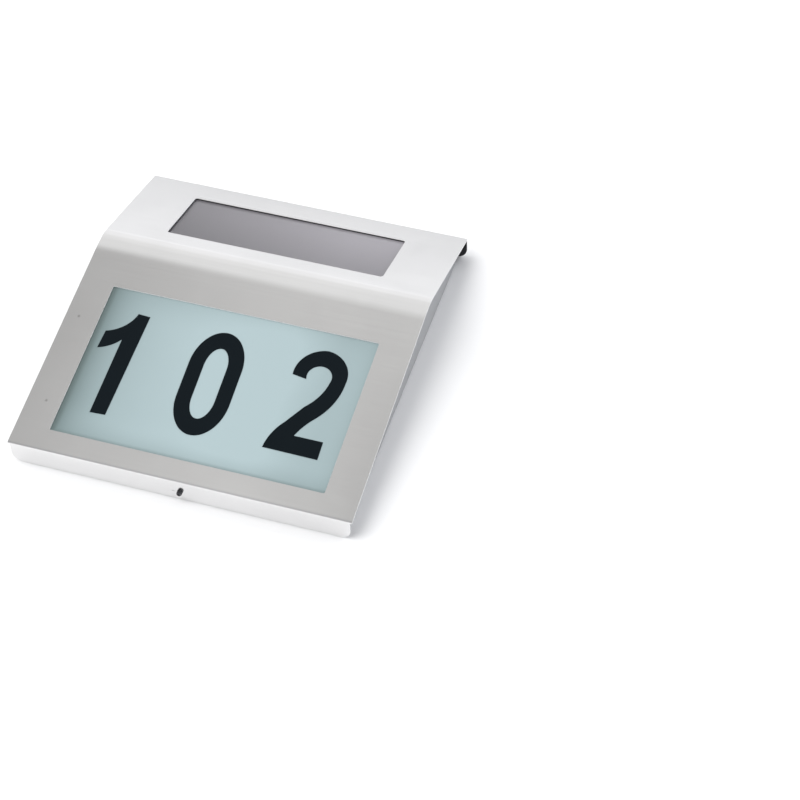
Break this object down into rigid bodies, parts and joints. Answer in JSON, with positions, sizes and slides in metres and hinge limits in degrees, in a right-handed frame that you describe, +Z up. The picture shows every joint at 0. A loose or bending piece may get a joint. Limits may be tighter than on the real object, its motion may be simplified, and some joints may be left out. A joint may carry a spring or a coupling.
{
  "type": "solar house number sign",
  "caption": "Wall-hung solar house number light: bent steel cover with a frosted number window and a sloped solar panel over a plastic case that hooks on a steel wall plate.",
  "frame": {"origin": "at the wall, midway between the wall plate's two upper screw holes", "axes": "+Z up the wall, -Y out from the wall towards the viewer, +X to the viewer's right"},
  "size_m": [0.18, 0.0339, 0.2021],
  "materials": {
    "brushed_cover": "satin brushed stainless sheet",
    "plate_steel": "plain satin stainless plate",
    "bright_steel": "bright zinc-plated screws and nuts",
    "dark_steel": "blackened screw, slightly glossy",
    "frosted_acrylic": "frosted translucent sheet with a cool tint",
    "black_vinyl": "cut adhesive vinyl, low sheen",
    "solar_glass": "clear textured cover sheet",
    "solar_cell": "grey silicon cells",
    "green_board": "solder-masked circuit board",
    "black_foam": "closed-cell foam, matt",
    "white_plastic": "moulded plastic, fine texture",
    "grey_plastic": "moulded grey plastic, fine texture",
    "black_plastic": "moulded plastic",
    "clear_lamp": "clear epoxy lamp bodies",
    "copper_coil": "enamelled winding",
    "contact_steel": "nickel-plated spring steel",
    "cell_sleeve": "plain shrink sleeve",
    "red_wire": "wire insulation",
    "black_wire": "wire insulation"
  },
  "bodies": {
    "wall_plate": {"wall_plate": "plate_steel"},
    "lamp": {"front_cover": "brushed_cover", "foam_strips": "black_foam", "weld_studs": "plate_steel", "stud_nuts": "bright_steel", "diffuser_panel": "frosted_acrylic", "digit_one": "black_vinyl", "digit_zero": "black_vinyl", "digit_two": "black_vinyl", "solar_gasket": "black_foam", "solar_glass": "solar_glass", "solar_cells": "solar_cell", "solar_board": "green_board", "rear_case": "grey_plastic", "reflector_tray": "white_plastic", "lamp_board": "green_board", "led_lamps": "clear_lamp", "circuit_board": "green_board", "board_screws": "bright_steel", "charge_chip": "black_plastic", "choke_coil": "copper_coil", "storage_capacitor": "black_plastic", "wire_sockets": "white_plastic", "power_switch": "bright_steel", "back_panel": "grey_plastic", "back_screws": "bright_steel", "battery_cell": "cell_sleeve", "battery_spring": "contact_steel", "negative_contact": "contact_steel", "positive_contact": "contact_steel", "solar_lead_red": "red_wire", "solar_lead_black": "black_wire", "battery_lead_red": "red_wire", "battery_lead_black": "black_wire", "lamp_lead_red": "red_wire", "lamp_lead_black": "black_wire", "lock_screw": "dark_steel", "lock_nut": "bright_steel"},
    "battery_door": {"battery_door": "grey_plastic"},
    "switch_slider": {"switch_slider": "black_plastic"}
  },
  "joints": [
    {"name": "swing_off", "type": "hinge", "parent": "wall_plate", "child": "lamp", "pos_m": [0, 0, 0.02], "axis": [-1, 0, 0], "range_deg": [0, 20]},
    {"name": "door_open", "type": "hinge", "parent": "lamp", "child": "battery_door", "pos_m": [-0.045, -0.0059, -0.0645], "axis": [-1, 0, 0], "range_deg": [0, 85]},
    {"name": "switch_slide", "type": "slide", "parent": "lamp", "child": "switch_slider", "axis": [1, 0, 0], "range_m": [0, 0.0025]}
  ]
}
